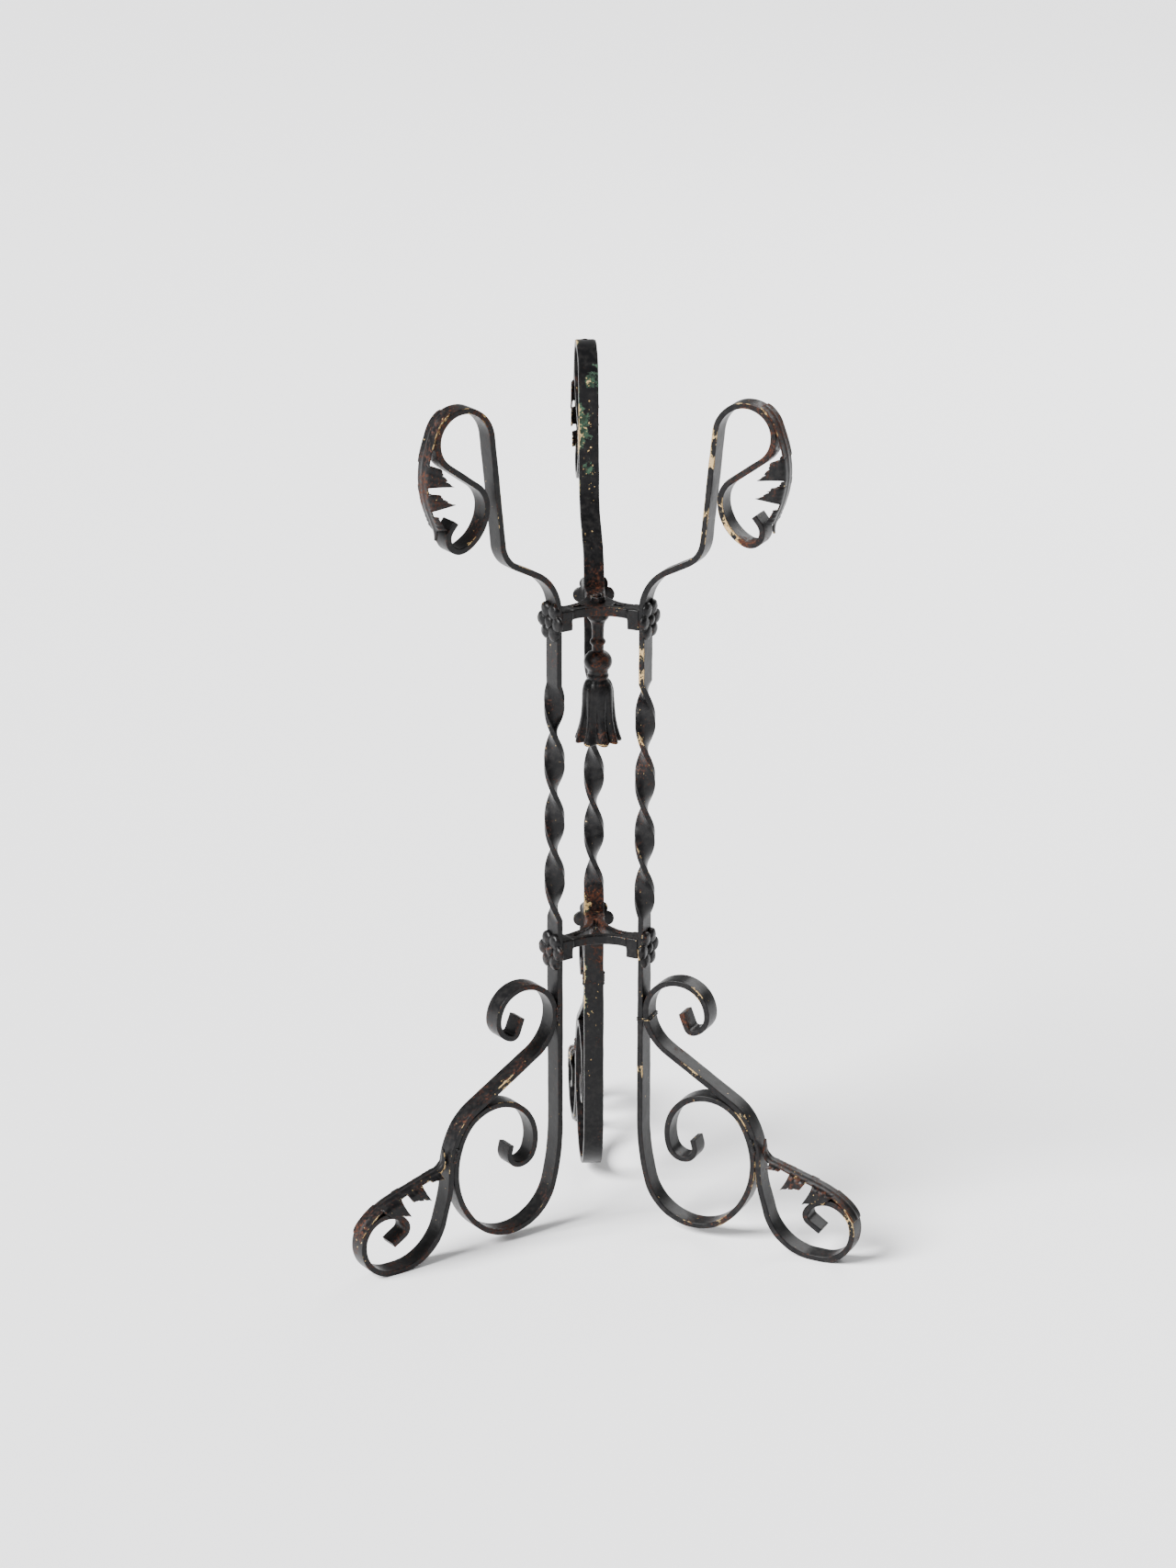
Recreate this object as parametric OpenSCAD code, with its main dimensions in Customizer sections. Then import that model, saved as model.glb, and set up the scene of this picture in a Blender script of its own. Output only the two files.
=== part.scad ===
// Three-legged wrought iron pot stand: three twisted flat bars with scrolled arms and feet,
// held by two cast brackets, with rosettes, acanthus leaves and a cast tassel.
// +Z is up, the origin is on the stand's axis at floor level, and the rear leg points along +Y.

/* [Flat bar] */
// Width of the flat bar, across each leg
bar_w = 16; // [14:1:18]
// Thickness of the flat bar
bar_t = 4.7; // [4:0.1:5]
// Distance from the stand's axis to the middle of each upright
upright_r = 41.5; // [40:0.5:44]

/* [Heights] */
// Height at which the upright starts to bend out into the arm
shoulder_z = 527; // [524:1:535]
// Height of the upper end of the twist
twist_top_z = 466; // [440:1:480]
// Height of the lower end of the twist
twist_bottom_z = 269; // [262:1:290]
// Height of the upper bracket's rivets
upper_bracket_z = 518.5; // [500:0.5:518.5]
// Height of the lower bracket's rivets
lower_bracket_z = 242; // [236:0.5:250]
// Height at which the upright starts to bend out into the foot scroll
foot_bend_z = 93; // [90:1:96]

/* [Twist] */
// Degrees that the bar turns between the two flats
twist_turn = 720; // [360:180:1080]

/* [Arm] */
// Length of the leaning run from the shoulder to the top loop
arm_run = 90; // [80:1:95]
// Bend radius of the top loop, to the middle of the bar
loop_r = 23.5; // [22:0.5:25]

/* [Foot scroll] */
// Bend radius of the scroll's widest stretch, to the middle of the bar
scroll_r = 68; // [66:1:70]

/* [Brace] */
// Gap left between the brace and the bar where they touch
contact_gap = 0.1; // [0.05:0.05:0.3]
// Bend radius of the foot curl's outer side, to the middle of the bar
foot_curl_r = 27; // [25:1:28]

/* [Brackets] */
// Height of a corner block
block_h = 17; // [14:1:18]
// Depth of a corner block, towards the axis
block_depth = 10; // [8:1:11]
// Height of the beams between the corner blocks
beam_h = 8; // [6:0.5:8]
// Distance from the axis to the middle of a beam's outer side
beam_out_r = 13.5; // [13:0.5:15]
// Thickness of a beam, in plan
beam_t = 5.5; // [4:0.5:6]
// Radius of the hub that fills the upper bracket
hub_r = 14; // [12:0.5:15]

/* [Rivets] */
// Radius of the bracket rivets' shanks
rivet_r = 2.5; // [2:0.25:3]
// Radius of the bracket rivets' heads
rivet_head_r = 4.8; // [4:0.2:5.4]

/* [Rosettes] */
// Number of petals on a rosette
petals = 6; // [5:1:8]
// Overall radius of a rosette
rosette_r = 16.5; // [15:0.5:18]
// Thickness of a rosette's plate, under the domed petals
rosette_t = 1.5; // [1:0.25:2]

/* [Leaves] */
// Width of a leaf across its lobes
leaf_w = 22; // [18:1:24]
// Thickness of the leaf's sheet
leaf_t = 1.2; // [0.8:0.1:1.4]

/* [Tassel] */
// Radius of the tassel's ball
ball_r = 11.3; // [10:0.5:12]
// Radius of the tassel's flared lower rim
skirt_r = 18.3; // [16:0.5:19]
// Number of flutes round the skirt
flutes = 9; // [7:1:12]
// Radius of the threaded stud above the tassel
stud_r = 3; // [2.5:0.25:3.5]

/* [Hidden] */

// Directions in which the legs stand
rear = 90;
left = 210;
right = 330;
leg_angles = [rear, left, right];

bend_step = 6;       // largest turn between two points of a bend
$fn = 64;
clear = 1;           // how far a cutter passes the face that it cuts
bar_face = upright_r + bar_t / 2;    // outer face of an upright
bar_back = upright_r - bar_t / 2;    // inner face of an upright
contact = bar_t + contact_gap;       // from bar middle to bar middle where two bars touch

// A bent bar is a list of rows, in the order in which a smith bends it. A row [turn, radius] is a
// bend through that many degrees, to the left if positive, and a row [0, length] is a straight run.
// The pen that follows them is [distance from the axis, height, heading in degrees].
function moved(pen, row) =
    row[0] == 0
    ? [pen[0] + row[1] * cos(pen[2]), pen[1] + row[1] * sin(pen[2]), pen[2]]
    : let (side = sign(row[0]), heading = pen[2] + row[0])
      [
          pen[0] + side * row[1] * (sin(heading) - sin(pen[2])),
          pen[1] + side * row[1] * (cos(pen[2]) - cos(heading)),
          heading
      ];
function small_steps(rows) = [
    for (row = rows)
        let (count = row[0] == 0 ? 1 : ceil(abs(row[0]) / bend_step))
        for (i = [1:count]) row[0] == 0 ? row : [row[0] / count, row[1]]
];
function track(pen, rows, i = 0) =
    i == len(rows) ? [pen] : concat([pen], track(moved(pen, rows[i]), rows, i + 1));
function route(pen, rows) = track(pen, small_steps(rows));
function last(list) = list[len(list) - 1];
function first_rows(rows, count) = [for (i = [0:count - 1]) rows[i]];
// Points beside a route, d to the left of it
function beside(points, d) = [for (p = points) [p[0] - d * sin(p[2]), p[1] + d * cos(p[2])]];
function reversed(list) = [for (i = [len(list) - 1:-1:0]) list[i]];

// Arm, from the shoulder upwards
arm_rows = [
    [-63, 38], [0, 20],          // shoulder leans out
    [57, 24], [0, arm_run],      // turns up again and leans out a little
    [-54, 27],                   // into the top loop
    [-90, loop_r],               // over the top
    [-84, loop_r], [0, 31],      // back in towards the arm
    [57, 22], [63, 34],          // turns down beside the arm
    [154, 11], [0, 7]            // small curl and its square end
];
// Foot scroll, from the foot of the upright outwards and round
foot_rows = [
    [15, 200], [75, 43],         // out and along the floor
    [40, 43], [50, scroll_r],    // up the outer side
    [29, scroll_r],              // the stretch that the brace lies against
    [171, 36],                   // over the top and down the inner side
    [78, 13], [97, 10], [0, 6]   // small coil and its square end
];
foot_start = [upright_r, foot_bend_z, -90];
scroll_out = last(track(foot_start, first_rows(foot_rows, 4)));   // the scroll's outermost point

// Brace, upwards from the scroll's outermost point: its slanting run is as long as the curl above
// needs to reach the upright
brace_start = [scroll_out[0] + contact, scroll_out[1]];
hug_turn = 29;
brace_slant = 149;           // heading of the slanting run
curl_r = 37;                 // bend radius of the curl's lower side
brace_hug = moved(
    moved([brace_start[0], brace_start[1], 90], [hug_turn, scroll_r + contact]),
    [brace_slant - 90 - hug_turn, 45]
);
slant_run = (brace_hug[0] - upright_r - contact - curl_r * (1 - sin(brace_slant))) / -cos(brace_slant);
brace_up_rows = [
    [hug_turn, scroll_r + contact], [brace_slant - 90 - hug_turn, 45],
    [0, slant_run],              // slants in to the upright
    [90 - brace_slant, curl_r],  // turns up along it
    [-90, 29], [-90, 25],        // over the top of the curl
    [-75, 16], [-84, 5], [0, 13] // small coil and its square end
];
curl_contact = last(track([brace_start[0], brace_start[1], 90], first_rows(brace_up_rows, 4)));

// Brace, downwards from the same point: the straight run is as long as the foot needs to stand
brace_lean = 16;             // degrees that the run leans out
lean_r = 80;                 // bend radius into the lean
foot_bend_r = 42;            // bend radius to the floor
foot_run = (brace_start[1] - lean_r * sin(brace_lean) - foot_bend_r * (1 - sin(brace_lean)) - bar_t / 2)
    / cos(brace_lean);
brace_down_rows = [
    [brace_lean, lean_r], [0, foot_run], // down and out
    [90 - brace_lean, foot_bend_r],      // to the floor
    [0, 6],                              // the worn flat that stands on the floor
    [8, 36], [94, foot_curl_r],          // up the outer side
    [84, 22], [56, 20],                  // over the top
    [86, 7], [0, 12]                     // small coil and its square end
];

// Arm leaf, from the outer side of the top loop down to the small curl
loop_start = last(track([upright_r, shoulder_z, 90], first_rows(arm_rows, 5)));
loop_mid = [loop_start[0] + loop_r * sin(loop_start[2]), loop_start[1] - loop_r * cos(loop_start[2])];
leaf_loop_r = loop_r + (bar_t + leaf_t) / 2 + contact_gap;
arm_leaf_from = -28;         // heading of the loop where the leaf begins
arm_leaf_start = [
    loop_mid[0] - leaf_loop_r * sin(arm_leaf_from),
    loop_mid[1] + leaf_loop_r * cos(arm_leaf_from),
    arm_leaf_from
];
arm_leaf_rows = [
    [-42, leaf_loop_r], [0, 11], // lies on the loop, then leaves it
    [-42, 75], [0, 12],          // bows out past the reversed bend
    [30, 20]                     // flares out at its point
];
// Foot leaf, from the outer side of the foot curl up to the brace: its run is as long as it takes
// to reach the brace
curl_top = last(track([brace_start[0], brace_start[1], -90], first_rows(brace_down_rows, 6)));
curl_top_r = brace_down_rows[6][1];
curl_mid = [curl_top[0] - curl_top_r * sin(curl_top[2]), curl_top[1] + curl_top_r * cos(curl_top[2])];
leaf_curl_r = curl_top_r + (bar_t + leaf_t) / 2 + contact_gap;
foot_leaf_from = 112;        // heading of the curl where the leaf begins
foot_leaf_start = [
    curl_mid[0] + leaf_curl_r * sin(foot_leaf_from),
    curl_mid[1] - leaf_curl_r * cos(foot_leaf_from),
    foot_leaf_from
];
foot_leaf_rise = [[23, leaf_curl_r], [28, 62]];      // leaves the curl and bows out over the foot
foot_leaf_bent = last(track(foot_leaf_start, foot_leaf_rise));
foot_leaf_turn = 10;         // bend radius beside the brace
foot_leaf_run = (foot_leaf_bent[0] - brace_start[0] - (bar_t + leaf_t) / 2 - contact_gap
    - foot_leaf_turn * (1 - sin(foot_leaf_bent[2]))) / -cos(foot_leaf_bent[2]);
foot_leaf_rows = concat(
    foot_leaf_rise,
    [[0, foot_leaf_run], [90 - foot_leaf_bent[2], foot_leaf_turn], [8, 60]]
);

// One leg's frame: X outwards, Y across the bar, Z up
module on_leg(angle) {
    rotate([0, 0, angle]) children();
}

module strip(start, rows, thickness) {
    points = route(start, rows);
    polygon(concat(beside(points, thickness / 2), reversed(beside(points, -thickness / 2))));
}

module bent_bar(start, rows, width = bar_w, thickness = bar_t) {
    rotate([90, 0, 0])
        linear_extrude(height = width, center = true) strip(start, rows, thickness);
}

module leg_bar(angle) {
    slices = ceil(twist_turn / bend_step);
    color("#1c1b1a")
    on_leg(angle)
        difference() {
            union() {
                bent_bar(
                    [upright_r, twist_top_z, 90],
                    concat([[0, shoulder_z - twist_top_z]], arm_rows)
                );
                translate([upright_r, 0, twist_bottom_z])
                    linear_extrude(height = twist_top_z - twist_bottom_z, twist = twist_turn,
                                   slices = slices, segments = 8)
                        square([bar_t, bar_w], center = true);
                bent_bar(
                    [upright_r, twist_bottom_z, -90],
                    concat([[0, twist_bottom_z - foot_bend_z]], foot_rows)
                );
            }
            for (z = [upper_bracket_z, lower_bracket_z])
                translate([upright_r - bar_t, 0, z])
                    rotate([0, 90, 0]) cylinder(r = rivet_r, h = 2 * bar_t);
        }
}

module brace(angle) {
    color("#211f1d")
    on_leg(angle) {
        union() {
            bent_bar([brace_start[0], brace_start[1], 90], brace_up_rows);
            bent_bar([brace_start[0], brace_start[1], -90], brace_down_rows);
        }
    }
}

// Half of a leaf's outline: along it from 0 to 1, and half width as a share of the whole
leaf_half = [
    [0, 0.30], [0.06, 0.40], [0.16, 0.42], [0.30, 0.50], [0.36, 0.26], [0.52, 0.50],
    [0.58, 0.26], [0.74, 0.46], [0.80, 0.22], [0.94, 0.26], [1, 0.05]
];
// The outline laid out from one height, or distance, to another
module leaf_outline(from, to) {
    polygon(concat(
        [for (p = leaf_half) [from + p[0] * (to - from), p[1] * leaf_w]],
        [for (p = reversed(leaf_half)) [from + p[0] * (to - from), -p[1] * leaf_w]]
    ));
}

module arm_leaf(angle) {
    points = route(arm_leaf_start, arm_leaf_rows);
    color("#2b211b")
    on_leg(angle)
        intersection() {
            bent_bar(arm_leaf_start, arm_leaf_rows, leaf_w, leaf_t);
            rotate([0, -90, 0])
                translate([0, 0, -2 * loop_mid[0]])
                    linear_extrude(height = 2 * loop_mid[0])
                        leaf_outline(points[0][1] + leaf_t, last(points)[1] - leaf_t);
        }
}

module foot_leaf(angle) {
    points = route(foot_leaf_start, foot_leaf_rows);
    color("#2b211b")
    on_leg(angle)
        intersection() {
            bent_bar(foot_leaf_start, foot_leaf_rows, leaf_w, leaf_t);
            linear_extrude(height = 2 * last(points)[1])
                leaf_outline(points[0][0] + leaf_t, last(points)[0] - leaf_t / 2);
        }
}

// Domed flower on the outer face of an upright
rosette_boss = 0.8;          // how far its flat middle stands above the plate
module rosette(angle, z) {
    petal_r = rosette_r * 0.38;
    dome_r = petal_r * 1.3;
    color("#242220")
    on_leg(angle)
        translate([bar_face, 0, z])
            rotate([0, 90, 0])
                difference() {
                    union() {
                        cylinder(r = rosette_r - petal_r, h = rosette_t + rosette_boss);
                        for (i = [0:petals - 1])
                            rotate([0, 0, 360 * (i + 0.5) / petals])
                                translate([rosette_r - petal_r, 0, 0]) {
                                    cylinder(r = petal_r, h = rosette_t);
                                    intersection() {
                                        translate([0, 0, rosette_t - sqrt(dome_r * dome_r - petal_r * petal_r)])
                                            sphere(r = dome_r);
                                        cylinder(r = petal_r, h = 3 * rosette_t);
                                    }
                                }
                    }
                    translate([0, 0, -clear]) cylinder(r = rivet_r, h = 4 * rosette_t + clear);
                }
}

// Plan of a bracket: a triangle with hollow sides, between the three corner blocks
block_in_r = bar_back - block_depth;
corner_r = block_in_r + 3;   // how far from the axis the beams run into the blocks
window_r = block_in_r - 6;   // how far from the axis the open middle's corners reach
// Centre of the circle that hollows each side: it passes the corner blocks' edges
corner_along = corner_r / 2 + bar_w / 2 * cos(30);
corner_across = corner_r * cos(30) - bar_w / 4;
side_mid = (pow(corner_along, 2) + pow(corner_across, 2) - pow(beam_out_r, 2)) / (2 * (corner_along - beam_out_r));
module hollow_triangle(reach, inset) {
    difference() {
        circle(r = reach);
        for (angle = leg_angles)
            rotate(angle + 60) translate([side_mid, 0]) circle(r = side_mid - beam_out_r + inset);
    }
}

module bracket_casting(z) {
    translate([0, 0, z])
        difference() {
            union() {
                linear_extrude(height = beam_h)
                    difference() {
                        hollow_triangle(corner_r, 0);
                        hollow_triangle(window_r, beam_t);
                    }
                for (angle = leg_angles)
                    on_leg(angle)
                        translate([block_in_r, -bar_w / 2, -block_h / 2])
                            cube([block_depth, bar_w, block_h]);
            }
            for (angle = leg_angles)
                on_leg(angle)
                    translate([block_in_r - clear, 0, 0])
                        rotate([0, 90, 0]) cylinder(r = rivet_r, h = block_depth + 2 * clear);
        }
}

module upper_bracket() {
    color("#201f1e")
    difference() {
        union() {
            bracket_casting(upper_bracket_z);
            translate([0, 0, upper_bracket_z]) cylinder(r = hub_r, h = beam_h);
        }
        translate([0, 0, upper_bracket_z - clear]) cylinder(r = stud_r, h = beam_h + 2 * clear);
    }
}

module lower_bracket() {
    color("#201f1e") bracket_casting(lower_bracket_z);
}

// Rivets through rosette, upright and block, with a dome outside and a peened end inside
module bracket_rivets(z) {
    dome = rivet_head_r * 1.15;
    outer = bar_face + rosette_t + rosette_boss;
    peen = 1;                // the swelling of the hammered end
    color("#262422")
    for (angle = leg_angles)
        on_leg(angle)
            translate([0, 0, z])
                rotate([0, 90, 0]) {
                    translate([0, 0, block_in_r]) cylinder(r = rivet_r, h = outer - block_in_r);
                    intersection() {
                        translate([0, 0, outer - sqrt(dome * dome - rivet_head_r * rivet_head_r)])
                            sphere(r = dome);
                        translate([0, 0, outer]) cylinder(r = rivet_head_r, h = dome);
                    }
                    translate([0, 0, block_in_r - peen]) cylinder(r1 = rivet_r, r2 = rivet_r + peen, h = peen);
                }
}

// Tassel, measured down from the underside of the hub
tassel_top = upper_bracket_z;
ball_mid = tassel_top - 41;
ball_squash = 0.85;          // the ball's height over its width
neck_r = 4.8;
collar_r = 8.3;
skirt_top = ball_mid - 13;
skirt_foot = skirt_top - 53;
tassel_side = concat(
    [[0, tassel_top], [8.5, tassel_top], [8.5, tassel_top - 3], [6.2, tassel_top - 6],
     [neck_r, tassel_top - 11], [neck_r, ball_mid + 19], [6.3, ball_mid + 16.5], [neck_r, ball_mid + 14]],
    [for (a = [66:-12:-42]) [ball_r * cos(a), ball_mid + ball_r * ball_squash * sin(a)]],
    [[collar_r, skirt_top + 2], [collar_r, skirt_top - 1],
     [11, skirt_top - 4], [12.6, skirt_top - 9], [13.4, skirt_top - 20], [14, skirt_top - 31],
     [15.4, skirt_top - 39], [skirt_r, skirt_foot + 1.5], [skirt_r - 0.8, skirt_foot],
     [skirt_r - 4, skirt_foot + 1], [0, skirt_foot + 5]]
);

nut_h = 5;
stud_above = 2;              // how far the stud stands out of the nut

module tassel() {
    flute_r = 3.2;
    flute_off = 1.2;         // from the rim to the middle of a flute at its foot
    flute_lean = 5.5;        // degrees that a flute leans in towards its top
    flute_h = 44;
    color("#191817") {
        difference() {
            rotate_extrude() polygon(tassel_side);
            for (i = [0:flutes - 1])
                rotate([0, 0, 360 * (i + 0.5) / flutes])
                    translate([skirt_r + flute_off, 0, skirt_foot - 2 * clear])
                        rotate([0, -flute_lean, 0]) cylinder(r = flute_r, h = flute_h);
        }
        translate([0, 0, tassel_top - clear])
            cylinder(r = stud_r, h = beam_h + nut_h + stud_above + clear);
    }
}

module tassel_nut() {
    nut_r = 6.4;             // across its corners, halved
    color("#262422")
    translate([0, 0, tassel_top + beam_h])
        difference() {
            cylinder(r = nut_r, h = nut_h, $fn = 6);
            translate([0, 0, -clear]) cylinder(r = stud_r, h = nut_h + 2 * clear);
        }
}

// A weld bead on the side faces of two bars that touch: a half-round bead with round ends
module weld_pair(x, z, lean, length) {
    bead_r = 2;
    for (side = [-1, 1])
        translate([x, side * bar_w / 2, z])
            rotate([0, lean, 0])
                intersection() {
                    union() {
                        cylinder(r = bead_r, h = length, center = true);
                        for (end = [-1, 1]) translate([0, 0, end * length / 2]) sphere(r = bead_r);
                    }
                    translate([-bead_r - clear, side > 0 ? 0 : -bead_r - clear, -length])
                        cube([2 * (bead_r + clear), bead_r + clear, 2 * length]);
                }
}

module brace_to_leg_welds() {
    bead_length = 9;
    color("#1d1a18")
    for (angle = [rear, left])
        on_leg(angle) weld_pair(bar_face + contact_gap / 2, curl_contact[1], 0, bead_length);
}

module brace_to_scroll_welds() {
    bead_length = 10;
    touch = moved([scroll_out[0] + contact / 2, scroll_out[1], 90], [hug_turn / 2, scroll_r + contact / 2]);
    color("#1d1a18")
    for (angle = leg_angles)
        on_leg(angle) weld_pair(touch[0], touch[1], -hug_turn / 2, bead_length);
}

// Two turns of wire round the right leg's upright and brace, in place of a weld
module wire_tie() {
    wire = 1.2;              // its thickness
    loose = 0.2;             // gap between it and the bars
    pitch = 2.5;             // from one turn to the next
    drop = 9;                // from the contact down to the lower turn
    bow = 1.4;               // how far the brace has bowed away there
    in_x = 2 * bar_t + contact_gap + 2 * loose + bow;
    color("#3a322a")
    on_leg(right)
        for (z = [curl_contact[1] - drop, curl_contact[1] - drop + pitch])
            translate([bar_back - loose, 0, z])
                linear_extrude(height = wire, center = true)
                    difference() {
                        translate([-wire, -bar_w / 2 - loose - wire])
                            square([in_x + 2 * wire, bar_w + 2 * loose + 2 * wire]);
                        translate([0, -bar_w / 2 - loose]) square([in_x, bar_w + 2 * loose]);
                    }
}

leg_bar(rear);  // leg_bar_rear
leg_bar(left);  // leg_bar_left
leg_bar(right);  // leg_bar_right
brace(rear);  // brace_rear
brace(left);  // brace_left
brace(right);  // brace_right
arm_leaf(rear);  // arm_leaf_rear
arm_leaf(left);  // arm_leaf_left
arm_leaf(right);  // arm_leaf_right
foot_leaf(rear);  // foot_leaf_rear
foot_leaf(left);  // foot_leaf_left
foot_leaf(right);  // foot_leaf_right
rosette(rear, upper_bracket_z);  // upper_rosette_rear
rosette(left, upper_bracket_z);  // upper_rosette_left
rosette(right, upper_bracket_z);  // upper_rosette_right
rosette(rear, lower_bracket_z);  // lower_rosette_rear
rosette(left, lower_bracket_z);  // lower_rosette_left
rosette(right, lower_bracket_z);  // lower_rosette_right
upper_bracket();
lower_bracket();
bracket_rivets(upper_bracket_z);  // upper_bracket_rivets
bracket_rivets(lower_bracket_z);  // lower_bracket_rivets
tassel();
tassel_nut();
brace_to_leg_welds();
brace_to_scroll_welds();
wire_tie();
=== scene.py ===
import math

import bmesh
import bpy
import numpy as np
from mathutils import Matrix, Vector, noise


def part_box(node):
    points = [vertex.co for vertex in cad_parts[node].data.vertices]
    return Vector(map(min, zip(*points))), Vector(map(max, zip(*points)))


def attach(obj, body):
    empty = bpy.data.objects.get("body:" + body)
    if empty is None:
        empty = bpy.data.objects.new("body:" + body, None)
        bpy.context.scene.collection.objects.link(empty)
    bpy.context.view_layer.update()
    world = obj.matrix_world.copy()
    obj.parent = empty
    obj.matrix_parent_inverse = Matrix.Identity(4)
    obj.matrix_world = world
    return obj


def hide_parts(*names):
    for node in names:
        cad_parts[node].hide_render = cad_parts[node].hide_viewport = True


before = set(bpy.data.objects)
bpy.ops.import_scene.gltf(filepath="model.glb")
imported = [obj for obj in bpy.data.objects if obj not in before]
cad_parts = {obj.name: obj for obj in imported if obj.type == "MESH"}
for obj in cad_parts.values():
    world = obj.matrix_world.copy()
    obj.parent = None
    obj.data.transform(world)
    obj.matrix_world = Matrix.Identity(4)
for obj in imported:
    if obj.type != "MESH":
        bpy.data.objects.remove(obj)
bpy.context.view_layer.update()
mm = 0.001
legs = {"rear": 90, "left": 210, "right": 330}  # direction of each leg, in degrees from +X

# Shared places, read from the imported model

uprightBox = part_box("lower_rosette_rear")
bracketHeight = {}
for level in ("upper", "lower"):
    low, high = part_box(level + "_rosette_rear")
    bracketHeight[level] = (low.z + high.z) / 2
bar = dict(
    width=16 * mm,
    thick=4.7 * mm,
    corner=0.6 * mm,  # rounding of the bar's long edges
    ringGap=1.8 * mm,  # length of one ring of faces
    touch=0.1 * mm,  # gap between two bars that meet
    endTrim=0.35 * mm,  # rounding round a cut end
)
uprightR = uprightBox[0].y - bar["thick"] / 2
turned = {side: Matrix.Rotation(math.radians(angle), 4, "Z") for side, angle in legs.items()}


# Small helpers for pens, meshes and objects


def moved(pen, row):  # a pen is x, z and heading; a row is (turn, radius) or (0, length)
    x, z, heading = pen
    turn, size = row
    here = math.radians(heading)
    if turn == 0:
        return x + size * math.cos(here), z + size * math.sin(here), heading
    there = math.radians(heading + turn)
    side = math.copysign(size, turn)
    x += side * (math.sin(there) - math.sin(here))
    z += side * (math.cos(here) - math.cos(there))
    return x, z, heading + turn


def rowLength(row):
    return row[1] if row[0] == 0 else abs(math.radians(row[0])) * row[1]


def after(pen, rows):
    for row in rows:
        pen = moved(pen, row)
    return pen


def penAt(pen, rows, along):  # the pen after a length of the route
    for row in rows:
        length = rowLength(row)
        if along <= length:
            turn = row[0] * along / length
            return moved(pen, (turn, row[1]) if turn else (0, along))
        along -= length
        pen = moved(pen, row)
    return moved(pen, (0, along))


def inMm(rows):
    return [(turn, size * mm) for turn, size in rows]


def roughen(bm, layers, shift=0.0):  # pushes each vertex along its normal by layered noise
    bm.normal_update()
    place = Vector((shift, 0.37 * shift, 0))
    for v in bm.verts:
        push = sum(depth * noise.noise((v.co + place) / size) for size, depth in layers)
        v.co += v.normal * push


def thicken(bm, thick):  # gives an open sheet its thickness, half to each side
    bm.normal_update()
    push = bm.verts.layers.float_vector.new("push")
    for v in bm.verts:
        v[push] = v.normal * thick / 2
        v.co += v[push]
    made = bmesh.ops.extrude_face_region(bm, geom=bm.faces[:], use_keep_orig=True)
    for v in made["geom"]:
        if isinstance(v, bmesh.types.BMVert):
            v.co -= 2 * v[push]
    bm.verts.layers.float_vector.remove(push)


def storeWear(mesh, spread):
    # how convex the surface is at each vertex, from 0 on flats to 1 on edges
    count, edgeCount = len(mesh.vertices), len(mesh.edges)
    co, normal = np.empty(count * 3), np.empty(count * 3)
    ends = np.empty(edgeCount * 2, dtype=np.int32)
    mesh.vertices.foreach_get("co", co)
    mesh.vertices.foreach_get("normal", normal)
    mesh.edges.foreach_get("vertices", ends)
    co, normal, ends = co.reshape(-1, 3), normal.reshape(-1, 3), ends.reshape(-1, 2)
    a, b = ends[:, 0], ends[:, 1]
    along = co[b] - co[a]
    along /= np.maximum(np.linalg.norm(along, axis=1), 1e-9)[:, None]
    value, links = np.zeros(count), np.zeros(count)
    np.add.at(value, a, -(normal[a] * along).sum(1))
    np.add.at(value, b, (normal[b] * along).sum(1))
    np.add.at(links, a, 1)
    np.add.at(links, b, 1)
    links = np.maximum(links, 1)
    value = np.clip(value / links * 5, 0, 1)
    for _ in range(spread):
        near = np.zeros(count)
        np.add.at(near, a, value[b])
        np.add.at(near, b, value[a])
        value = np.maximum(value, 0.75 * near / links)
    mesh.attributes.new("wear", "FLOAT", "POINT").data.foreach_set("value", value.astype(np.float32))


def storeMarks(mesh, marks, place):
    # marks are patches, twice as tall as wide, in the leg's own frame and in millimetres
    count = len(mesh.vertices)
    co = np.empty(count * 3)
    mesh.vertices.foreach_get("co", co)
    co = co.reshape(-1, 3) @ np.array(place.inverted().to_3x3()).T
    for kind in ("rusty", "chipped", "greened"):
        value = np.zeros(count)
        for markKind, x, y, z, radius, amount in marks:
            if markKind == kind:
                far = (co - np.array([x, y, z]) * mm) * np.array([1, 1, 0.5])
                far = np.linalg.norm(far, axis=1) / (radius * mm)
                value = np.maximum(value, amount * np.clip(1.4 - far, 0, 1))
        mesh.attributes.new(kind, "FLOAT", "POINT").data.foreach_set("value", value.astype(np.float32))


def asPiece(name, bm, node, material, place=None, marks=(), spread=1, merge=True):
    if merge:
        bmesh.ops.remove_doubles(bm, verts=bm.verts, dist=1e-6)
    bmesh.ops.recalc_face_normals(bm, faces=bm.faces)
    if place is not None:
        bmesh.ops.transform(bm, matrix=place, verts=bm.verts)
    mesh = bpy.data.meshes.new(name)
    bm.to_mesh(mesh)
    bm.free()
    mesh.shade_smooth()
    storeWear(mesh, spread)
    storeMarks(mesh, marks, place or Matrix.Identity(4))
    mesh.materials.append(material)
    piece = bpy.data.objects.new(name, mesh)
    bpy.context.scene.collection.objects.link(piece)
    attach(piece, "root")
    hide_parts(node)
    return piece


# Materials


def addNode(tree, kind, inputs=(), **settings):
    made = tree.nodes.new(kind)
    for key, value in settings.items():
        setattr(made, key, value)
    pairs = inputs.items() if isinstance(inputs, dict) else enumerate(inputs)
    for key, value in pairs:
        if isinstance(value, bpy.types.NodeSocket):
            tree.links.new(value, made.inputs[key])
        elif value is not None:
            made.inputs[key].default_value = value
    return made


def maths(tree, operation, a, b=None, clamp=False):
    return addNode(tree, "ShaderNodeMath", [a, b], operation=operation, use_clamp=clamp).outputs[0]


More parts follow.
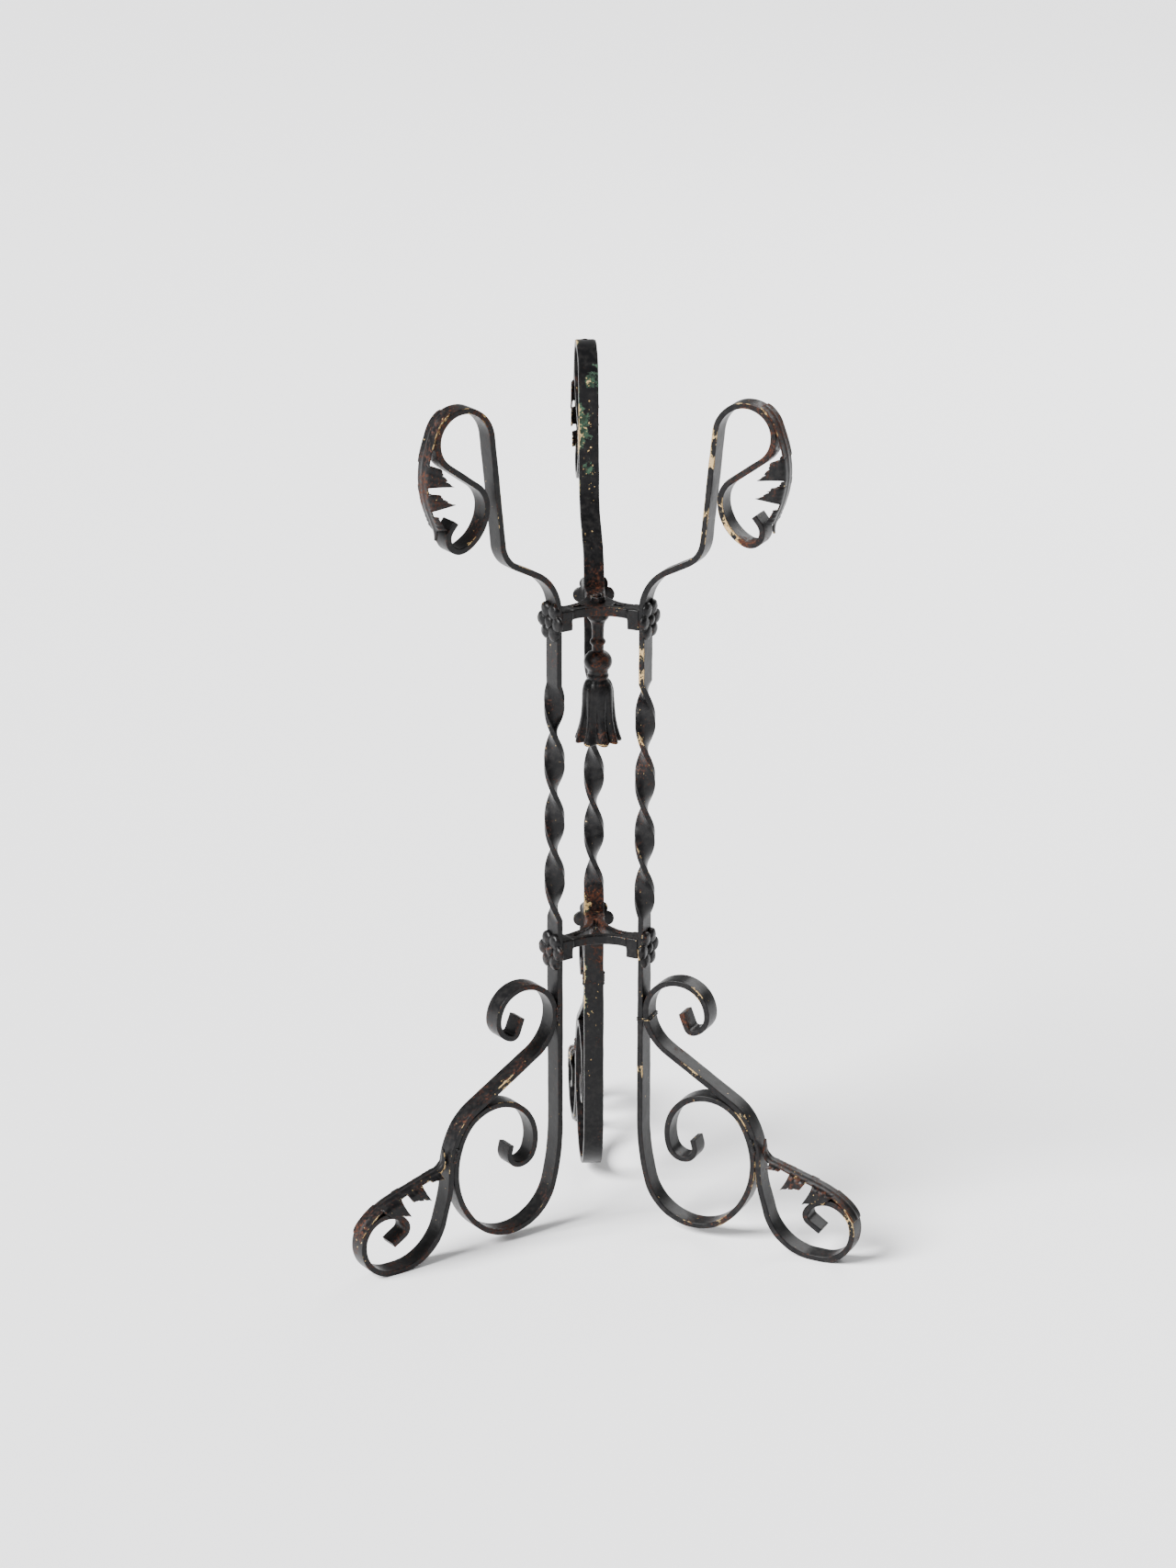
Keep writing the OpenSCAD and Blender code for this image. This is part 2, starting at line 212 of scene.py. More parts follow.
def step(tree, value, start, end):
    # a soft step from 0 to 1 between two values
    inputs = {"Value": value, "From Min": start, "From Max": end}
    made = addNode(tree, "ShaderNodeMapRange", inputs, interpolation_type="SMOOTHSTEP")
    return made.outputs["Result"]


def mixed(tree, factor, a, b):
    made = addNode(tree, "ShaderNodeMix", data_type="RGBA")
    for key, value in (("Factor_Float", factor), ("A_Color", a), ("B_Color", b)):
        socket = next(s for s in made.inputs if s.identifier == key)
        if isinstance(value, bpy.types.NodeSocket):
            tree.links.new(value, socket)
        else:
            socket.default_value = value
    return next(s for s in made.outputs if s.identifier == "Result_Color")


def weighted(tree, parts):
    total = 0.0
    for value, weight in parts:
        total = maths(tree, "ADD", maths(tree, "MULTIPLY", value, weight), total)
    return total


def speckle(tree, vector, size, detail=4.0, rough=0.6):
    inputs = {"Vector": vector, "Scale": 1 / size, "Detail": detail, "Roughness": rough}
    return addNode(tree, "ShaderNodeTexNoise", inputs).outputs["Fac"]


def newGroup(name, inputs, outputs):
    group = bpy.data.node_groups.new(name, "ShaderNodeTree")
    for label, kind, value in inputs:
        socket = group.interface.new_socket(label, in_out="INPUT", socket_type=kind)
        if value is not None:
            socket.default_value = value
    for label, kind in outputs:
        group.interface.new_socket(label, in_out="OUTPUT", socket_type=kind)
    return group


paint = dict(
    blackDeep=(0.0022, 0.0022, 0.0026, 1),
    blackDusty=(0.0085, 0.0080, 0.0078, 1),
    green=(0.030, 0.062, 0.038, 1),
    greenDark=(0.008, 0.018, 0.011, 1),
    cream=(0.38, 0.255, 0.11, 1),
    rustDark=(0.014, 0.0060, 0.0038, 1),
    rustBright=(0.066, 0.019, 0.0075, 1),
    blackRough=0.36,
    gloss=0.16,
    relief=0.25 * mm,
)


def makeAgedPaint():
    # black over green over cream, chipped at edges and marks, with rust coming through
    number, vector, colour = "NodeSocketFloat", "NodeSocketVector", "NodeSocketColor"
    group = newGroup(
        "agedPaint",
        [
            ("Vector", vector, None), ("Wear", number, 0.0), ("Rusty", number, 0.0),
            ("Chipped", number, 0.0), ("Greened", number, 0.0), ("Chip Amount", number, 0.5),
            ("Rust Amount", number, 0.5), ("Green Amount", number, 0.0),
        ],
        [("Color", colour), ("Roughness", number), ("Height", number)],
    )
    given = group.nodes.new("NodeGroupInput").outputs
    place = given["Vector"]
    broad = speckle(group, place, 0.016, 5, 0.55)
    middle = speckle(group, place, 0.0042, 4, 0.6)
    fine = speckle(group, place, 0.0011, 3, 0.6)
    shifted = addNode(group, "ShaderNodeVectorMath", [place, (0.31, 0.17, 0.53)], operation="ADD")
    elsewhere = shifted.outputs[0]
    rustBroad = speckle(group, elsewhere, 0.021, 5, 0.6)
    rustFine = speckle(group, elsewhere, 0.0024, 5, 0.65)
    spots = speckle(group, elsewhere, 0.0026, 2, 0.5)
    total = weighted(group, [
        (broad, 0.42), (middle, 0.38), (fine, 0.20), (given["Wear"], 0.16), (given["Chipped"], 0.13),
        (given["Greened"], 0.17), (given["Chip Amount"], 0.07),
    ])
    # edges inside a chipped patch lose their paint first
    depth = maths(group, "ADD", total, maths(
        group, "MULTIPLY", maths(group, "MULTIPLY", given["Wear"], given["Chipped"]), 0.12
    ))
    chip = step(group, depth, 0.745, 0.757)
    greenWide = weighted(group, [(given["Greened"], 0.15), (given["Green Amount"], 0.04)])
    past = maths(group, "SUBTRACT", depth, maths(group, "ADD", 0.752, greenWide))
    creamMask = step(group, past, 0.0, 0.010)
    bare = step(group, past, 0.095, 0.12)
    rust = weighted(group, [
        (rustBroad, 0.46), (rustFine, 0.54), (given["Wear"], 0.05), (given["Rusty"], 0.105),
        (given["Rust Amount"], 0.10),
    ])
    stain = step(group, rust, 0.60, 0.76)
    rustColour = mixed(group, step(group, rustFine, 0.38, 0.68), paint["rustDark"], paint["rustBright"])
    black = mixed(group, step(group, middle, 0.40, 0.72), paint["blackDeep"], paint["blackDusty"])
    # small flecks of cream, thicker inside chipped and green patches
    dots = weighted(group, [
        (spots, 1.0), (given["Chipped"], 0.07), (given["Greened"], 0.05), (given["Chip Amount"], 0.03),
    ])
    fleck = step(group, dots, 0.755, 0.785)
    under = mixed(group, step(group, middle, 0.42, 0.66), paint["greenDark"], paint["green"])
    shown = mixed(group, chip, black, under)
    shown = mixed(group, maths(group, "MAXIMUM", creamMask, fleck), shown, paint["cream"])
    shown = mixed(group, bare, shown, rustColour)
    shown = mixed(group, maths(group, "MULTIPLY", stain, 0.9), shown, rustColour)
    shine = maths(group, "ADD", maths(group, "MULTIPLY", middle, 0.24), paint["blackRough"] - 0.12)
    shine = maths(group, "ADD", shine, maths(group, "MULTIPLY", chip, 0.25))
    shine = maths(group, "ADD", shine, maths(group, "MULTIPLY", stain, 0.35), clamp=True)
    height = maths(group, "SUBTRACT", 1.0, maths(group, "MULTIPLY", chip, 0.45))
    height = maths(group, "SUBTRACT", height, maths(group, "MULTIPLY", bare, 0.30))
    scale = maths(group, "MULTIPLY", rustFine, stain)
    height = maths(group, "ADD", height, maths(group, "MULTIPLY", scale, 0.7))
    height = maths(group, "ADD", height, maths(group, "MULTIPLY", middle, 0.45))
    height = maths(group, "ADD", height, maths(group, "MULTIPLY", fine, 0.12))
    result = group.nodes.new("NodeGroupOutput").inputs
    for key, value in (("Color", shown), ("Roughness", shine), ("Height", height)):
        group.links.new(value, result[key])
    return group


agedPaint = makeAgedPaint()


def paintedIron(name, chips, rust, green, bump):
    material = bpy.data.materials.new(name)
    material.use_nodes = True
    tree = material.node_tree
    shader = tree.nodes["Principled BSDF"]
    group = addNode(tree, "ShaderNodeGroup", node_tree=agedPaint)
    place = addNode(tree, "ShaderNodeTexCoord").outputs["Object"]
    tree.links.new(place, group.inputs["Vector"])
    for label, attribute in (
        ("Wear", "wear"), ("Rusty", "rusty"), ("Chipped", "chipped"), ("Greened", "greened")
    ):
        source = addNode(tree, "ShaderNodeAttribute", attribute_name=attribute)
        tree.links.new(source.outputs["Fac"], group.inputs[label])
    for label, value in (("Chip Amount", chips), ("Rust Amount", rust), ("Green Amount", green)):
        group.inputs[label].default_value = value
    tree.links.new(group.outputs["Color"], shader.inputs["Base Color"])
    tree.links.new(group.outputs["Roughness"], shader.inputs["Roughness"])
    relief = addNode(tree, "ShaderNodeBump", {"Strength": bump, "Distance": paint["relief"]})
    tree.links.new(group.outputs["Height"], relief.inputs["Height"])
    tree.links.new(relief.outputs["Normal"], shader.inputs["Normal"])
    shader.inputs["Specular IOR Level"].default_value = paint["gloss"]
    return material


materials = {
    "barRear": paintedIron("barRear", 0.60, 0.25, 0.55, 0.8),
    "barLeft": paintedIron("barLeft", 0.45, 0.45, 0.05, 0.8),
    "barRight": paintedIron("barRight", 0.50, 0.35, 0.05, 0.8),
    "leaf": paintedIron("leafPaint", 0.65, 0.65, 0.05, 0.9),
    "rosette": paintedIron("rosettePaint", 0.15, 0.30, 0.10, 1.0),
    "bracket": paintedIron("bracketPaint", 0.15, 0.50, 0.10, 1.0),
    "fastener": paintedIron("fastenerPaint", 0.35, 0.50, 0.05, 0.8),
    "tassel": paintedIron("tasselPaint", 0.10, 0.35, 0.00, 0.7),
    "weld": paintedIron("weldPaint", 0.10, 0.55, 0.00, 1.0),
    "wire": paintedIron("wirePaint", 0.75, 0.55, 0.00, 0.5),
}
print("materials made")


# Flat bars: a rounded section pushed along a list of bends

armRows = inMm([
    (-63, 38), (0, 20), (57, 24), (0, 90), (-54, 27), (-90, 23.5),
    (-84, 23.5), (0, 31), (57, 22), (63, 34), (154, 11), (0, 7),
])
footRows = inMm([(15, 200), (75, 43), (40, 43), (50, 68), (29, 68), (171, 36), (78, 13), (97, 10), (0, 6)])
heights = dict(shoulder=527 * mm, twistTop=466 * mm, twistBottom=269 * mm, footBend=93 * mm)
scrollOut = after((uprightR, heights["footBend"], -90), footRows[:4])
contact = bar["thick"] + bar["touch"]
braceStart = (scrollOut[0] + contact, scrollOut[1])
barGrain = [(0.045, 0.30 * mm), (0.013, 0.16 * mm), (0.005, 0.07 * mm)]  # size and depth of the hammering


scrollHug = 68 * mm + contact  # radius where the brace lies on the foot scroll
brace = dict(
    crook=37 * mm,  # radius of the bend that meets the upright
    lean=16,  # degrees off plumb below the scroll
    knee=80 * mm,  # radius of the bend into that lean
    heel=42 * mm,  # radius of the bend onto the floor
)
braceHug = [(29, scrollHug), (30, 45 * mm)]


def slantRun():  # length of the slant, so that the crook touches the upright
    x, _, heading = after((*braceStart, 90), braceHug)
    slant = math.radians(heading)
    return (x - uprightR - contact - brace["crook"] * (1 - math.sin(slant))) / -math.cos(slant)


def standRun():  # length of the leaning stretch, so that the heel stands on the floor
    lean = math.radians(brace["lean"])
    bends = brace["knee"] * math.sin(lean) + brace["heel"] * (1 - math.sin(lean))
    return (braceStart[1] - bends - bar["thick"] / 2) / math.cos(lean)


braceUp = braceHug + [(0, slantRun()), (-59, brace["crook"])] + inMm([
    (-90, 29), (-90, 25), (-75, 16), (-84, 5), (0, 13),
])
braceDown = [(brace["lean"], brace["knee"]), (0, standRun()), (90 - brace["lean"], brace["heel"])] + inMm([
    (0, 6), (8, 36), (94, 27), (84, 22), (56, 20), (86, 7), (0, 12),
])


def sectionLoop(bm, pen, width, thick, corner):
    # one closed loop of edges: width along Y, thickness across the heading
    made = bmesh.ops.create_grid(bm, x_segments=1, y_segments=1, size=0.5)
    verts = made["verts"]
    bmesh.ops.scale(bm, vec=(thick, width, 1), verts=verts)
    made = bmesh.ops.bevel(
        bm, geom=verts, offset=corner, offset_type="OFFSET", segments=3,
        profile=0.5, affect="VERTICES", material=-1,
    )
    bmesh.ops.delete(bm, geom=bm.faces[:], context="FACES_ONLY")
    long = [e for e in bm.edges if e.calc_length() > width / 2]
    short = [e for e in bm.edges if thick / 3 < e.calc_length() < width / 2]
    bmesh.ops.subdivide_edges(bm, edges=long, cuts=6)
    bmesh.ops.subdivide_edges(bm, edges=short, cuts=1)
    x, z, heading = pen
    # the grid lies in XY with its normal along Z, which is turned onto the heading
    turn = Matrix.Rotation(math.radians(90 - heading), 4, "Y")
    bmesh.ops.transform(bm, matrix=Matrix.Translation((x, 0, z)) @ turn, verts=bm.verts)
    return bm.verts[:] + bm.edges[:]


def onlyLoop(geom):
    return [g for g in geom if not isinstance(g, bmesh.types.BMFace)]


def sweep(bm, loop, pen, rows, gap):
    for row in rows:
        x, z, heading = pen
        here = math.radians(heading)
        steps = max(2, round(rowLength(row) / gap))
        if row[0] == 0:
            push = Vector((math.cos(here), 0, math.sin(here))) * row[1] / steps
            made = bmesh.ops.spin(
                bm, geom=loop, cent=(0, 0, 0), axis=(0, 1, 0), dvec=push, angle=0, steps=steps
            )
        else:
            side = math.copysign(row[1], row[0])
            centre = (x - side * math.sin(here), 0, z + side * math.cos(here))
            made = bmesh.ops.spin(
                bm, geom=loop, cent=centre, axis=(0, -1, 0), angle=math.radians(row[0]), steps=steps
            )
        loop = onlyLoop(made["geom_last"])
        pen = moved(pen, row)
    return loop, pen


def closeEnd(bm, loop, trim):
    edges = [g for g in loop if isinstance(g, bmesh.types.BMEdge)]
    made = bmesh.ops.edgeloop_fill(bm, edges=edges)
    rim = [e for f in made["faces"] for e in f.edges]
    bmesh.ops.bevel(
        bm, geom=rim, offset=trim, offset_type="OFFSET", segments=2, profile=0.5,
        affect="EDGES", material=-1, clamp_overlap=True,
    )


def finishBar(name, bm, node, side):
    material = materials["bar" + side.title()]
    piece = asPiece(name + side, bm, node + side, material, turned[side], marks[side])
    # keeps the flats' shading flat beside their rounded edges
    piece.modifiers.new("flats", "WEIGHTED_NORMAL").weight = 70


def makeLegBar(side):
    bm = bmesh.new()
    top = heights["twistTop"]
    start = sectionLoop(bm, (uprightR, top, 90), bar["width"], bar["thick"], bar["corner"])
    upRows = [(0, heights["shoulder"] - top)] + armRows
    upEnd, _ = sweep(bm, start, (uprightR, top, 90), upRows, bar["ringGap"])
    length = top - heights["twistBottom"]
    steps = round(length / bar["ringGap"])
    made = bmesh.ops.spin(
        bm, geom=start, cent=(uprightR, 0, 0), axis=(0, 0, 1), dvec=(0, 0, -length / steps),
        angle=math.radians(720), steps=steps,
    )
    downRows = [(0, heights["twistBottom"] - heights["footBend"])] + footRows
    downPen = (uprightR, heights["twistBottom"], -90)
    downEnd, _ = sweep(bm, onlyLoop(made["geom_last"]), downPen, downRows, bar["ringGap"])
    for end in (upEnd, downEnd):
        closeEnd(bm, end, bar["endTrim"])
    bmesh.ops.recalc_face_normals(bm, faces=bm.faces)
    roughen(bm, barGrain, legs[side])
    finishBar("legBar_", bm, "leg_bar_", side)


def makeBrace(side):
    bm = bmesh.new()
    start = sectionLoop(bm, (*braceStart, 90), bar["width"], bar["thick"], bar["corner"])
    upEnd, _ = sweep(bm, start, (*braceStart, 90), braceUp, bar["ringGap"])
    downEnd, _ = sweep(bm, start, (*braceStart, -90), braceDown, bar["ringGap"])
    for end in (upEnd, downEnd):
        closeEnd(bm, end, bar["endTrim"])
    bmesh.ops.recalc_face_normals(bm, faces=bm.faces)
    roughen(bm, barGrain, legs[side] + 7)
    finishBar("braceBar_", bm, "brace_", side)


# Worn patches of each leg: kind, distance out, across, height, radius and amount
marks = {
    "rear": [
        ("greened", 100, -4, 689, 8, 1.2), ("greened", 99, -5, 680, 6, 1.0), ("chipped", 99, 0, 677, 3, 1.4),
        ("greened", 98, 8, 650, 12, 0.8), ("chipped", 98, 8, 640, 14, 0.9), ("chipped", 97, 2, 614, 7, 1.1),
        ("greened", 97, 0, 607, 7, 0.9), ("chipped", 94, 2, 585, 8, 1.0), ("chipped", 62, 0, 565, 10, 0.5),
        ("greened", 44, 2, 150, 9, 0.6), ("greened", 44, 5, 112, 9, 0.4), ("rusty", 41, 0, 225, 16, 0.6),
        ("rusty", 41, -4, 260, 14, 0.5), ("rusty", 90, 0, 10, 40, 0.4), ("greened", 52, 0, 552, 7, 0.7),
        ("chipped", 125, 8, 704, 7, 0.7), ("chipped", 41, 8, 200, 8, 0.5), ("rusty", 39, 0, 258, 14, 1.4),
        ("chipped", 39, 5, 257, 5, 1.3), ("rusty", 39, 0, 534, 9, 1.4), ("rusty", 39, -4, 215, 10, 1.2),
        ("chipped", 41, 5, 170, 7, 0.8),
    ],
    "left": [
        ("rusty", 134, 4, 700, 14, 0.5), ("chipped", 108, 8, 699, 8, 0.9), ("rusty", 62, 4, 558, 14, 0.7),
        ("rusty", 113, 8, 698, 9, 1.0), ("rusty", 150, 0, 648, 14, 1.2), ("rusty", 143, 6, 684, 11, 1.2),
        ("chipped", 143, 6, 684, 8, 0.9), ("chipped", 86, 8, 690, 4, 1.2), ("chipped", 94, 8, 641, 4, 1.0),
        ("chipped", 92, 8, 626, 4, 1.0), ("chipped", 74, 8, 572, 8, 0.9), ("rusty", 52, 8, 556, 8, 1.3),
        ("chipped", 124, 8, 602, 6, 1.0), ("rusty", 120, 6, 603, 9, 0.8), ("chipped", 41, 8, 450, 4, 0.8),
        ("rusty", 66, 6, 212, 12, 1.2), ("chipped", 92, 8, 135, 10, 0.9), ("rusty", 78, 8, 140, 14, 1.0),
        ("chipped", 126, 8, 703, 5, 0.7), ("rusty", 150, 0, 660, 18, 0.5), ("rusty", 105, 0, 12, 30, 0.9),
        ("chipped", 82, 8, 571, 7, 0.5), ("chipped", 228, 4, 30, 8, 0.6), ("rusty", 222, 0, 58, 18, 0.4),
        ("chipped", 140, 8, 125, 12, 0.5), ("rusty", 66, 0, 150, 22, 0.6), ("chipped", 41, 6, 398, 5, 0.7),
        ("chipped", 193, 8, 12, 9, 0.4), ("rusty", 200, 0, 6, 26, 0.7), ("chipped", 93, 8, 610, 5, 0.5),
        ("chipped", 74, 8, 205, 7, 0.6), ("chipped", 152, 8, 82, 7, 0.5), ("chipped", 41, 8, 352, 4, 0.6),
    ],
    "right": [
        ("chipped", 94, -8, 614, 6, 1.0), ("chipped", 93, -8, 592, 4, 0.9), ("chipped", 99, -8, 657, 5, 1.0),
        ("chipped", 96, -8, 636, 4, 0.9), ("rusty", 140, -4, 694, 20, 0.6), ("chipped", 126, -8, 702, 9, 0.5),
        ("chipped", 143, -8, 690, 7, 0.5), ("chipped", 41, -8, 492, 4, 1.3), ("chipped", 41, -8, 476, 5, 1.1),
        ("chipped", 41, -8, 463, 4, 1.1), ("chipped", 37, -8, 440, 5, 0.8), ("chipped", 41, -8, 420, 5, 0.9),
        ("rusty", 41, 0, 400, 12, 0.7), ("chipped", 108, -8, 620, 5, 1.1), ("chipped", 115, -8, 606, 6, 1.2),
        ("chipped", 124, -8, 597, 5, 1.0), ("rusty", 134, -8, 594, 12, 0.7), ("rusty", 41, -6, 350, 12, 0.6),
        ("chipped", 41, -8, 232, 5, 0.5), ("chipped", 41, -8, 140, 6, 0.6), ("chipped", 84, -8, 12, 9, 0.5),
        ("chipped", 118, -8, 14, 9, 0.8), ("rusty", 110, 0, 8, 26, 0.6), ("chipped", 132, -8, 104, 9, 0.8),
        ("chipped", 144, -8, 66, 7, 0.6), ("chipped", 226, -8, 38, 6, 1.0), ("rusty", 220, 0, 50, 18, 0.5),
        ("chipped", 182, -6, 78, 7, 0.8), ("rusty", 160, 0, 88, 16, 0.7), ("chipped", 41, -8, 330, 4, 0.6),
        ("chipped", 91, -8, 208, 6, 1.2), ("chipped", 41, -8, 237, 4, 1.1), ("rusty", 84, -6, 192, 9, 1.1),
        ("chipped", 90, -8, 150, 9, 0.9), ("rusty", 146, 0, 682, 16, 1.3), ("rusty", 130, 0, 640, 14, 1.2),
        ("chipped", 100, -8, 676, 4, 1.2), ("chipped", 98, -8, 668, 3, 1.2),
        ("chipped", 140, -8, 688, 6, 1.0),
    ],
}
for side in legs:
    makeLegBar(side)
    makeBrace(side)
print("flat bars made")


# Leaves: a crowned strip with serrated lobes that roll inwards

loopStart = after((uprightR, heights["shoulder"], 90), armRows[:5])
curlTop = after((*braceStart, -90), braceDown[:6])


def besideArc(pen, radius, turnSide, heading, offset):
    # the pen at a heading on an arc beside a bend's own arc
    x, z, start = pen
    here, there = math.radians(start), math.radians(heading)
    near, far = turnSide * radius, turnSide * (radius + offset)
    x += far * math.sin(there) - near * math.sin(here)
    z += near * math.cos(here) - far * math.cos(there)
    return x, z, heading


leaf = dict(
    thick=1.2 * mm,
    half=8.1 * mm,  # half width of the strip
    rollFrom=5.2 * mm,  # where the roll inwards begins, from the middle
    rollRadius=4.2 * mm,
    rollMost=84,  # degrees
    rib=0.5 * mm,
    ribWidth=1.8 * mm,
    vein=0.6 * mm,
    veinFrom=6 * mm,  # the veins reach full depth this far out on a lobe
    rootShare=0.86,  # the root's width, as a share of the strip's
    narrowing=0.35,  # how much the strip loses towards its tip
    leanFull=18 * mm,
    teeth=3,
    toothDepth=0.22,
    lobeRise=0.45,  # a lobe's reach where it starts, as a share of its tip's
    lobeTip=0.84,  # where the tip is along a lobe's root
    hook=1.6,  # how hollow the edge behind the tip is
    rows=190,
    columns=48,
)
leafLift = (bar["thick"] + leaf["thick"]) / 2 + bar["touch"]
armLeaf = dict(
    start=besideArc(loopStart, 23.5 * mm, -1, -28, leafLift),
    rows=[(-42, 23.5 * mm + leafLift), (0, 11 * mm), (-42, 75 * mm), (0, 12 * mm), (30, 20 * mm)],
    inward=-1,
    lobes=[(0.41, 0.57, 21), (0.62, 0.75, 20), (0.80, 0.92, 9)],  # root from, root to, reach in mm
    lean=5.5 * mm,  # how far a lobe's tip lies beyond its root
    tip=0.80,
)
footHeel = 10 * mm  # radius where the foot leaf turns up along the brace
footRise = [(23, 22 * mm + leafLift), (28, 62 * mm)]
footLeafStart = besideArc(curlTop, 22 * mm, 1, 112, leafLift)
footBent = after(footLeafStart, footRise)
footSlant = math.radians(footBent[2])
footReach = footBent[0] - braceStart[0] - leafLift - footHeel * (1 - math.sin(footSlant))
footRun = footReach / -math.cos(footSlant)
footLeaf = dict(
    start=footLeafStart,
    rows=footRise + [(0, footRun), (90 - footBent[2], footHeel), (8, 60 * mm)],
    inward=1,
    lobes=[(0.26, 0.43, 17), (0.49, 0.63, 15.5), (0.71, 0.81, 6)],
    lean=6 * mm,
    tip=0.86,
)


def lobeReach(kind, part):
    # how far the lobes stand out at a part of the leaf's length, and how deep in its tooth
    for first, last, reach in kind["lobes"]:
        if first <= part < last:
            q = (part - first) / (last - first)
            tip = leaf["lobeTip"]
            if q >= tip:
                return reach * mm * (1 - (q - tip) / (1 - tip)) ** leaf["hook"], 1
            u = q / tip
            wave = abs(math.sin(leaf["teeth"] * math.pi * u)) ** 0.6
            notch = leaf["toothDepth"] * (1 - wave) if 0.1 < u < 0.84 else 0
            return reach * mm * (leaf["lobeRise"] + (1 - leaf["lobeRise"]) * u ** 0.9 - notch), u
    return 0, 0


def leafPoint(kind, length, part, across):
    blunt = min(1, leaf["rootShare"] + part * 6)
    taper = 1 - leaf["narrowing"] * min(1, max(0, part - 0.4) / 0.5)
    half = leaf["half"] * blunt * taper * (1 - 0.8 * max(0, part - kind["tip"]) / (1.0 - kind["tip"]))
    reach, u = lobeReach(kind, part)
    out = abs(across) * (half + reach)
    lean = kind["lean"] * max(0, (out - half) / leaf["leanFull"]) ** 1.3 if reach else 0
    x, z, heading = penAt(kind["start"], kind["rows"], min(length, max(0, part * length + lean)))
    h = math.radians(heading)
    inward = Vector((-math.sin(h), 0, math.cos(h))) * kind["inward"]
    most = math.radians(leaf["rollMost"])
    flat = leaf["rollFrom"]
    rolled = min(max(0, out - flat), leaf["rollRadius"] * most)
    angle = rolled / leaf["rollRadius"]
    rest = max(0, out - flat - rolled)
    side = min(out, flat) + leaf["rollRadius"] * math.sin(angle) + rest * math.cos(angle)
    depth = leaf["rollRadius"] * (1 - math.cos(angle)) + rest * math.sin(angle) if reach else 0
    rib = leaf["rib"] * math.exp(-(out / leaf["ribWidth"]) ** 2)
    beyond = min(1, max(0, out - half) / leaf["veinFrom"])
    vein = leaf["vein"] * math.cos(2 * math.pi * leaf["teeth"] * u) * beyond if reach else 0
    y = math.copysign(side, across)
    return Vector((x, y, z)) + inward * (depth - rib + vein)


def makeLeaf(name, kind, side, shift):
    bm = bmesh.new()
    bmesh.ops.create_grid(bm, x_segments=leaf["rows"], y_segments=leaf["columns"], size=0.5)
    length = sum(map(rowLength, kind["rows"]))
    for v in bm.verts:
        v.co = leafPoint(kind, length, v.co.x + 0.5, v.co.y * 2)
    roughen(bm, [(0.02, 0.30 * mm), (0.006, 0.10 * mm)], shift)
    thicken(bm, leaf["thick"])
    node = name + "_" + side
    piece = name.split("_")[0] + "Leaf_" + side
    asPiece(piece, bm, node, materials["leaf"], turned[side], marks[side], spread=2)


for side, angle in legs.items():
    makeLeaf("arm_leaf", armLeaf, side, angle)
    makeLeaf("foot_leaf", footLeaf, side, angle + 3)
print("leaves made")


# Rosettes: a polar grid domed into round petals

rosette = dict(
    petals=6,
    petalR=6.3 * mm,
    petalAt=10.3 * mm,
    base=1.3 * mm,
    dome=3.1 * mm,
    middle=5.2 * mm,  # radius of the flat round the rivet
    moat=1.25,  # where that flat's edge ends, in its radii
    pad=0.9 * mm,
    rings=26,
)


def ringPoints(values):
    # a line of joined vertices in the XZ plane, for spinning round Z
    bm = bmesh.new()
    verts = [bm.verts.new((x, 0, z)) for x, z in values]
    for a, b in zip(verts, verts[1:]):
        bm.edges.new((a, b))
    return bm


def spun(bm, steps):
    bmesh.ops.spin(
        bm, geom=bm.verts[:] + bm.edges[:], cent=(0, 0, 0), axis=(0, 0, 1), angle=2 * math.pi,
        steps=steps, use_merge=True,
    )
    bmesh.ops.remove_doubles(bm, verts=bm.verts, dist=1e-7)
    return bm


def petalShape(x, y):
    # the rim's distance in this direction, and the nearest petal's middle
    spacing = 2 * math.pi / rosette["petals"]
    angle = math.atan2(y, x)
    nearest = (round(angle / spacing - 0.5) + 0.5) * spacing
    off = angle - nearest
    across = rosette["petalAt"] * math.sin(off)
    rim = rosette["petalAt"] * math.cos(off) + math.sqrt(max(0, rosette["petalR"] ** 2 - across**2))
    return rim, Vector((math.cos(nearest), math.sin(nearest), 0)) * rosette["petalAt"]


def makeRosette(level, side):
    rings = rosette["rings"]
    base, moat = rosette["base"], rosette["moat"]
    bm = spun(ringPoints([(1 - i / rings, 1) for i in range(rings + 1)]), 96)
    for v in bm.verts:
        x, y = v.co.x, v.co.y
        rim, mid = petalShape(x, y)
        here = Vector((x, y, 0)) * rim
        off = (here - mid).length / rosette["petalR"]
        lift = base + rosette["dome"] * math.sqrt(max(0, 1 - off**2))
        fromMiddle = here.length / rosette["middle"]
        if fromMiddle < moat:
            pad = base + rosette["pad"] * min(1, (moat - fromMiddle) * 4)
            lift = max(lift * min(1, fromMiddle), pad)
        v.co = Vector((here.x, here.y, lift))
    rimEdges = [e for e in bm.edges if e.is_boundary]
    made = bmesh.ops.extrude_edge_only(bm, edges=rimEdges)
    back = [g for g in made["geom"] if isinstance(g, bmesh.types.BMVert)]
    for v in back:
        v.co.z = 0
    bmesh.ops.holes_fill(bm, edges=[e for e in bm.edges if e.is_boundary], sides=0)
    bmesh.ops.recalc_face_normals(bm, faces=bm.faces)
    roughen(bm, [(0.0032, 0.28 * mm), (0.0013, 0.14 * mm)], legs[side] + bracketHeight[level])
    for v in bm.verts:
        v.co.z = max(v.co.z, 0)
    outward = Matrix.Rotation(math.radians(90), 4, "Y")
    seat = Matrix.Translation((uprightR + bar["thick"] / 2, 0, bracketHeight[level]))
    node = level + "_rosette_" + side
    asPiece(
        level + "Rosette_" + side, bm, node, materials["rosette"],
        turned[side] @ seat @ outward,
    )


for side in legs:
    for level in bracketHeight:
        makeRosette(level, side)
print("rosettes made")


